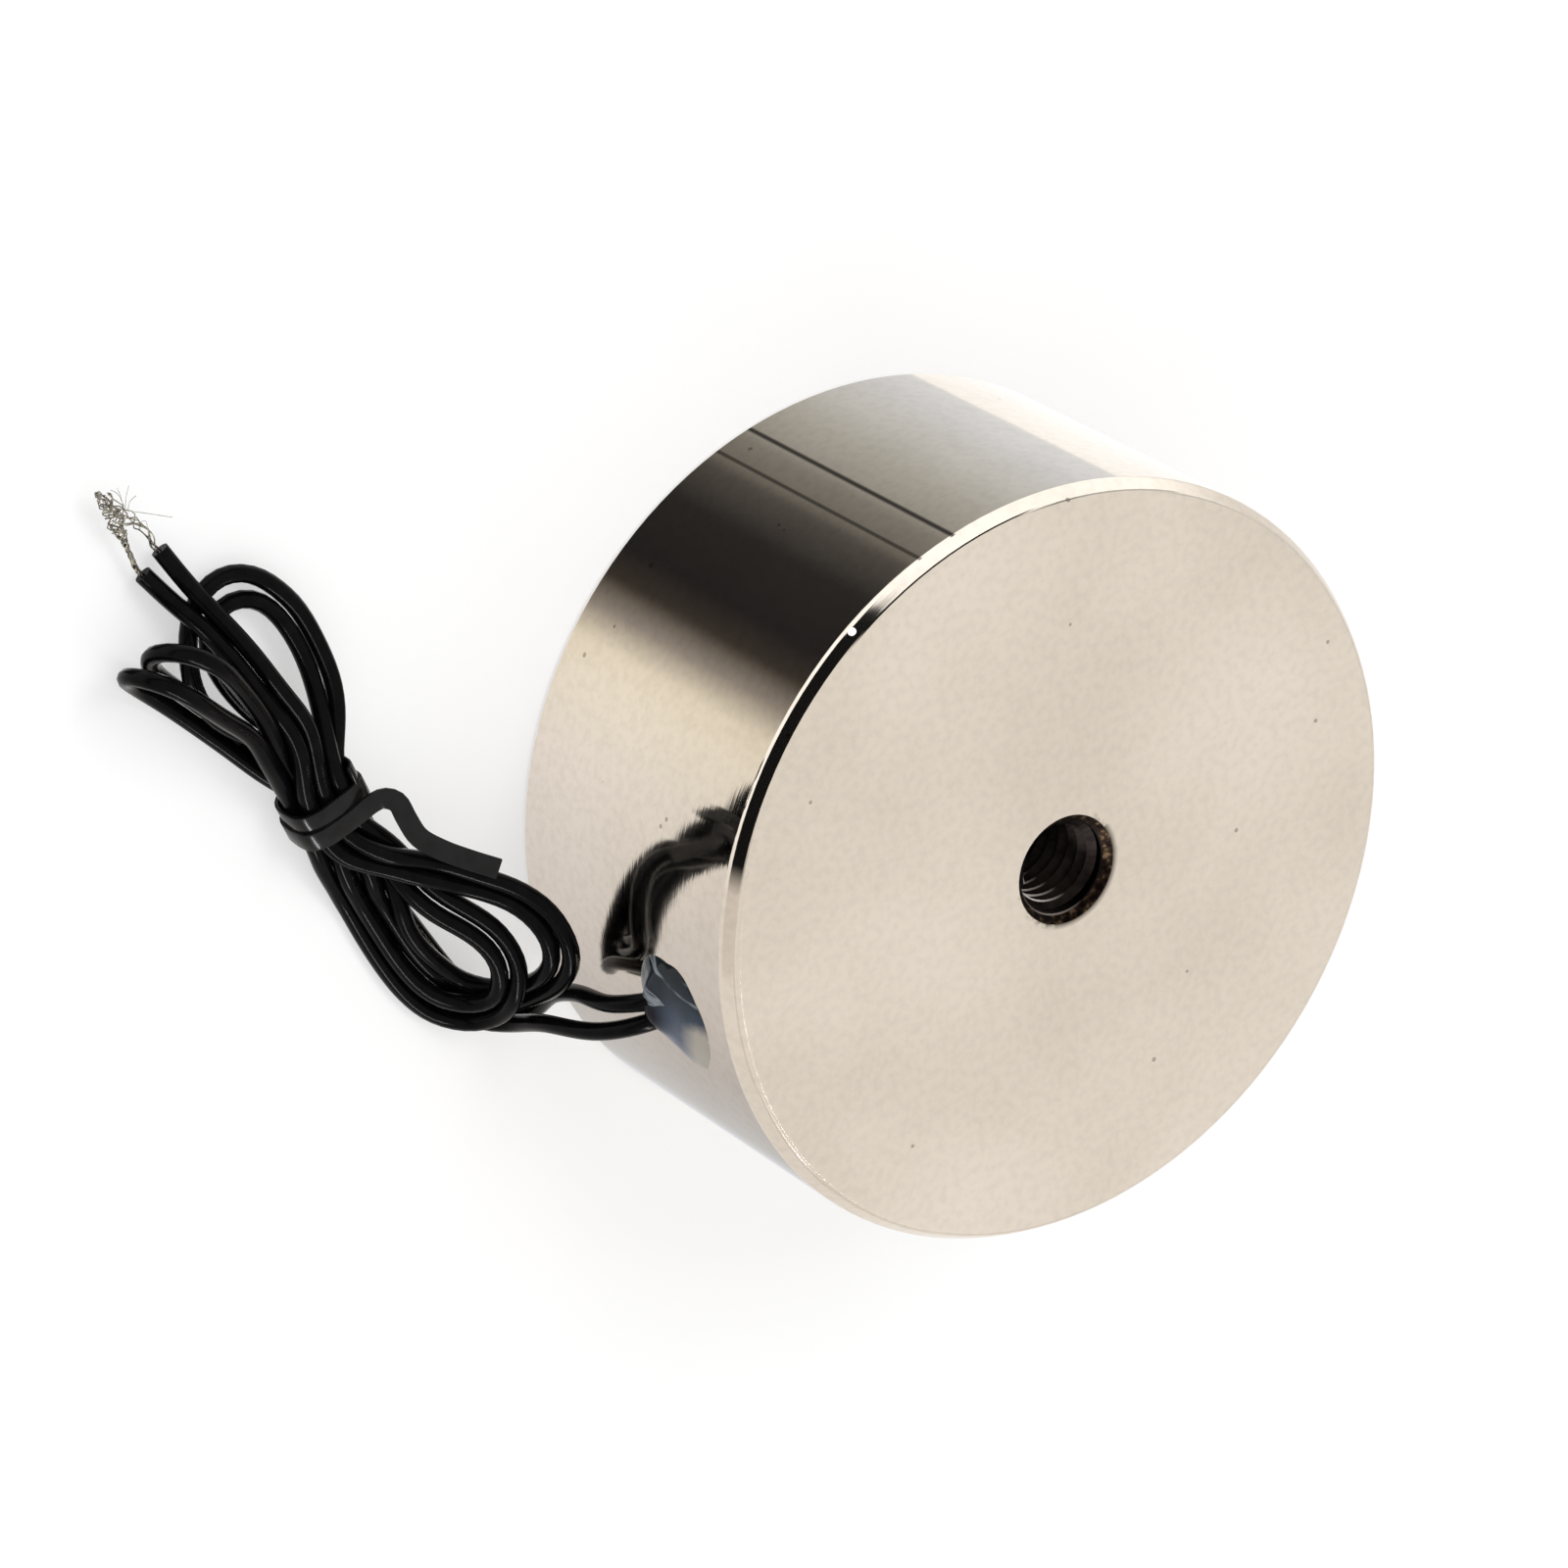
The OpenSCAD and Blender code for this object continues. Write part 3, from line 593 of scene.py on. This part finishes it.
    # turning lines run round the side, orange peel covers the back
    turning = graph.bump(graph.noise(coords, 1, 3, (60, 60, 5200)), 0.07, 0.03 * MM)
    peel = graph.times(on_back, graph.math("SUBTRACT", mottle, graph.times(pit, 0.6)))
    graph.shader(Base_Color=colour, Metallic=graph.math("SUBTRACT", 1.0, nick_glint),
                 Roughness=graph.math("ADD", rough.outputs[0], graph.times(dull, 0.4)),
                 Normal=graph.bump(peel, 0.18, 0.04 * MM, Normal=turning))
    return mat


dress(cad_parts["pot_body"], nickel_plate())
print("plated the pot")

# %% [markdown]
# ## The thread
# A small triangle is wound down the bore with the Screw modifier, one turn for each pitch.

# %% Thread ridges
PITCH, TURNS, THREAD_START = 1.25, 8, 18.3
RIDGE_ROOT, RIDGE_CREST, RIDGE_HALF = 4.04, 3.38, 0.56
# crests nearer the axis than this radius carry a painted highlight
CREST_LIT_R = 3.5
bpy.ops.mesh.primitive_circle_add(vertices=3, radius=RIDGE_HALF * MM, fill_type="NOTHING")
ridge = bpy.context.object
ridge.name = "thread_ridges"
profile = ((RIDGE_ROOT, 0, -RIDGE_HALF), (RIDGE_CREST, 0, 0), (RIDGE_ROOT, 0, RIDGE_HALF))
for vert, co in zip(ridge.data.vertices, profile):
    vert.co = Vector(co) * MM
screw = ridge.modifiers.new("wind", "SCREW")
screw.axis = "Z"
screw.steps = screw.render_steps = 40
screw.iterations = TURNS
screw.screw_offset = PITCH * MM
screw.use_smooth_shade = False
bpy.ops.object.modifier_apply(modifier="wind")
bpy.ops.object.mode_set(mode="EDIT")
bpy.ops.mesh.select_all(action="SELECT")
bpy.ops.mesh.remove_doubles(threshold=0.01 * MM)
bpy.ops.mesh.select_all(action="DESELECT")
bpy.ops.mesh.select_non_manifold()
bpy.ops.mesh.edge_face_add()
bpy.ops.mesh.select_all(action="SELECT")
bpy.ops.mesh.normals_make_consistent(inside=False)
bpy.ops.object.mode_set(mode="OBJECT")
low = min(v.co.z for v in ridge.data.vertices)
for v in ridge.data.vertices:
    v.co.z += THREAD_START * MM - low
print("thread faces:", len(ridge.data.polygons))

# %% [markdown]
# The thread is painted dark as shade inside the hole, and on one side of the bore its crests carry a painted highlight.

# %% Thread finish
# painted shade: a near-black metal stands in for the unlit inside of the hole
tapped = finish("tapped_steel_painted_light", (0.005, 0.004, 0.004), (0.02, 0.016, 0.014), (0.4, 0.55), metal=1.0, scale=800)
graph = Graph(tapped)
coords = graph.coords()
x, y, z = graph.split(coords)
# painted highlight: the crests on one side of the bore are painted bright
crest = graph.math("LESS_THAN", graph.hypot(x, y), CREST_LIT_R * MM)
one_side = graph.ramp(graph.turned(coords), [(0.46, 0.0), (0.50, 1.0), (0.66, 0.9), (0.78, 0.0)])
crest_highlight = graph.times(one_side, crest)
dark = graph.nodes["Principled BSDF"].inputs["Base Color"].links[0].from_socket
graph.shader(Base_Color=graph.mix(crest_highlight, dark, (0.5, 0.45, 0.42)), Metallic=graph.math("SUBTRACT", 1.0, crest_highlight))
dress(ridge, tapped)
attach(ridge, "root")
print("tapped steel nodes:", len(graph.nodes))

# %% [markdown]
# ## The sealant
# A ball is pressed against the wall: its rim follows the smeared outline, and its front rises
# to the two leads in a soft cone.

# %% Sealant finish
def sealant_finish():
    mat = finish("clear_sealant", (0.03, 0.04, 0.05), (0.06, 0.07, 0.09), (0.05, 0.14), scale=260, bump=0.3,
                 depth=0.05, Specular_IOR_Level=0.16)
    graph = Graph(mat)
    coords = graph.coords()
    x, side, z = graph.split(coords)
    y = graph.math("ADD", side, graph.times(graph.noise(coords, 500, 4), 2 * MM))
    # dark streaky wing, blue-grey middle
    body = graph.ramp(graph.span(y, -3 * MM, 5 * MM), [
        (0.0, (0.010, 0.014, 0.016)), (0.25, (0.022, 0.029, 0.038)), (0.5, (0.046, 0.060, 0.086)),
        (0.8, (0.088, 0.102, 0.142))])
    # the black leads show through where the gel rises to them
    body = graph.mix(graph.span(x, 33.5 * MM, 34.3 * MM), body, (0.006, 0.006, 0.010))
    # streaks run along the slanting edge of the wing
    slant = graph.add("ShaderNodeCombineXYZ",
                      Y=graph.math("SUBTRACT", graph.times(side, 0.89), graph.times(z, 0.45)),
                      Z=graph.math("ADD", graph.times(z, 0.89), graph.times(side, 0.45))).outputs["Vector"]
    streak = graph.ramp(graph.noise(slant, 420, 3, (1, 2.6, 0.3)), [(0.54, 0.0), (0.61, 0.8), (0.66, 0.0)])
    body = graph.mix(graph.times(streak, graph.math("LESS_THAN", y, 0.0)), body, (0.26, 0.29, 0.31))
    # the thin skirt lets the nickel through
    skirt = graph.span(graph.math("ADD", graph.times(y, 0.4), z), 23.4 * MM, 25.2 * MM)
    body = graph.mix(graph.times(skirt, graph.span(y, 0.4 * MM, 2 * MM)), body, (0.34, 0.31, 0.27))
    graph.shader(Base_Color=body)
    return mat


gel = sealant_finish()
print("sealant nodes:", len(gel.node_tree.nodes))

# %% Sealant bead
# its middle on the wall as (along the wall, z), and its rim round that as (angle, reach)
BEAD_AT = (0.3, 20.9)
BEAD_RIM = [(-180, 4.5), (-150, 5), (-120, 4.7), (-90, 4.4), (-60, 4.3), (-30, 4.3), (-8, 4.3), (14, 5.1), (24, 5.5),
            (40, 4.9), (75, 4.5), (95, 4.4), (125, 4.2), (150, 4.6), (165, 4.7), (180, 4.5)]
BEAD_DOME, BEAD_SINK = 0.95, 0.5


def hump(height, along, up, wide, tall):
    """A soft rise with its own width and height on the wall."""
    return height * math.exp(-(along / wide) ** 2 - (up / tall) ** 2)


bpy.ops.mesh.primitive_uv_sphere_add(segments=64, ring_count=36, radius=1)
bead = bpy.context.object
bead.name = "sealant_bead"
for v in bead.data.vertices:
    out, side, up = v.co.z, v.co.x, v.co.y
    angle = math.degrees(math.atan2(up, side))
    spread = math.hypot(side, up)
    reach = float(np.interp(angle, [a for a, r in BEAD_RIM], [r for a, r in BEAD_RIM]))
    yy = BEAD_AT[0] + spread * reach * math.cos(math.radians(angle))
    zz = BEAD_AT[1] + spread * reach * math.sin(math.radians(angle))
    if out >= 0:
        # a dome, a cone round the leads and a fin beside them
        lift = BEAD_DOME * (1 - spread ** 2) ** 0.75 + hump(1.15, yy - 0.1, zz - 19.9, 1.9, 1.25)
        lift += hump(0.55, yy + 2.1, zz - 19.5 + 0.3 * (yy + 2.1), 1.6, 0.7) * (1 - spread ** 4)
    else:
        lift = -BEAD_SINK * (1 - spread ** 2) ** 0.5
    turn = yy / POT_R
    v.co = Vector(((POT_R + lift) * math.cos(turn), (POT_R + lift) * math.sin(turn), zz)) * MM
bpy.ops.object.shade_smooth()
bpy.ops.object.mode_set(mode="EDIT")
bpy.ops.mesh.select_all(action="SELECT")
bpy.ops.mesh.normals_make_consistent(inside=False)
bpy.ops.object.mode_set(mode="OBJECT")
dress(bead, gel)
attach(bead, "root")
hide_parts("exit_sealant")
print("bead faces:", len(bead.data.polygons))

# %% [markdown]
# ## Floor and light
# The floor is pale and keeps the shadow. The world is white behind the object.

# %% Floor
FLOOR_SIZE, FLOOR_GLOW = 2.4, 0.5
bpy.ops.mesh.primitive_plane_add(size=FLOOR_SIZE)
floor = bpy.context.object
floor.name = "floor"
paper = finish("floor_paper", (0.86, 0.86, 0.86), (0.9, 0.9, 0.9), (0.7, 0.85), scale=30, bump=0.02)
graph = Graph(paper)
white = graph.add("ShaderNodeEmission")
mixed = graph.add("ShaderNodeMixShader", Fac=FLOOR_GLOW)
graph.feed(mixed.inputs[1], graph.nodes["Principled BSDF"].outputs["BSDF"])
graph.feed(mixed.inputs[2], white.outputs["Emission"])
graph.feed(graph.nodes["Material Output"].inputs["Surface"], mixed.outputs["Shader"])
dress(floor, paper)
floor.visible_glossy = False
print("floor laid")

# %% [markdown]
# The camera sees a white world. Mirror surfaces see the room around the table: a bright room
# above, a dark stretch at eye level and dark and light panels lower down.

# %% World
PANELS = [(0.0, (0.88, 0.9, 0.93)), (0.03, (0.82, 0.85, 0.92)), (0.086, (0.68, 0.70, 0.71)), (0.13, (0.49, 0.49, 0.47)),
          (0.166, (0.36, 0.35, 0.33)), (0.174, (0.26, 0.25, 0.23)), (0.203, (0.18, 0.17, 0.155)),
          (0.212, (0.095, 0.09, 0.083)), (0.253, (0.028, 0.026, 0.026)), (0.31, (0.02, 0.019, 0.02)),
          (0.338, (0.05, 0.042, 0.036)), (0.364, (0.34, 0.31, 0.28)), (0.392, (0.98, 0.92, 0.79)),
          (0.42, (1.03, 0.98, 0.88)), (0.475, (0.96, 0.93, 0.90)), (0.6, (0.8, 0.77, 0.76)),
          (0.697, (0.63, 0.61, 0.61)), (0.79, (0.64, 0.64, 0.645)), (0.83, (0.8, 0.8, 0.84)),
          (0.86, (1.15, 1.13, 1.12)), (0.95, (1.2, 1.2, 1.2))]
EYE_LEVEL = [(0.0, 0.8), (0.1, 0.6), (0.14, 0.012), (0.47, 0.008), (0.488, (0.84, 0.79, 0.74)),
             (0.8, (0.82, 0.78, 0.73)), (1.0, 0.85)]
world = bpy.data.worlds.new("studio")
bpy.context.scene.world = world
graph = Graph(world)
way = graph.coords("Generated")
around = graph.turned(way)
height = graph.span(graph.split(way)["Z"], -1.0, 1.0)
# the low panels end at z -0.7; the dark stretch starts higher up on one side of the room
low_part = graph.ramp(height, [(0.145, 1.0), (0.155, 0.0)])
sill = graph.ramp(around, [(0.27, 0.57), (0.31, 0.515)])
eye_part = graph.ramp(graph.math("SUBTRACT", height, sill), [(0.0, 0.0), (0.008, 1.0), (0.12, 1.0), (0.15, 0.0)])
glare = graph.times(graph.ramp(height, [(0.57, 1.0), (0.63, 0.0)]),
                    graph.ramp(around, [(0.0, 0.0), (0.06, 1.0), (0.42, 1.0), (0.5, 0.0)]))
room = graph.mix(glare, (0.97, 0.94, 0.90), (1.45, 1.43, 1.42))
room = graph.mix(eye_part, room, graph.ramp(around, EYE_LEVEL))
room = graph.mix(low_part, room, graph.ramp(around, PANELS))
mirrored = graph.add("ShaderNodeLightPath").outputs["Is Glossy Ray"]
background = graph.nodes["Background"]
graph.feed(background.inputs["Color"], graph.mix(mirrored, (1, 1, 1), room))
background.inputs["Strength"].default_value = 1.0
print("world nodes:", len(graph.nodes))

# %% Lights
def lamp(name, location, size, energy, at=(0, 0, 0.01), long=0):
    """An area lamp aimed at a point; a long one lies along the strands of the hank."""
    bpy.ops.object.light_add(type="AREA", location=location)
    light = bpy.context.object
    light.name = name
    light.data.energy = energy
    light.data.size = size
    back = (Vector(location) - Vector(at)).normalized()
    run = Vector((ALONG[0], ALONG[1], 0)) if long else Vector((0, 0, 1))
    run = (run - back * run.dot(back)).normalized()
    if long:
        light.data.shape = "RECTANGLE"
        light.data.size_y = long
    light.rotation_euler = Matrix((run.cross(back), run, back)).transposed().to_euler()
    return light


lamp("key_lamp", (-0.15, -0.4, 0.65), 0.35, 2.0).visible_glossy = False
lamp("strand_lamp", (0.35, 0.40, 0.31), 0.022, 2.2, (0.05, -0.02, 0.003), 0.4).visible_diffuse = False
bpy.context.scene.view_settings.view_transform = "Standard"
print("lights set")

# %% [markdown]
# ## The cords
# The leads are limp. They leave the sealed hole in the wall and end bare beside the hank.

print("the leads are limp")
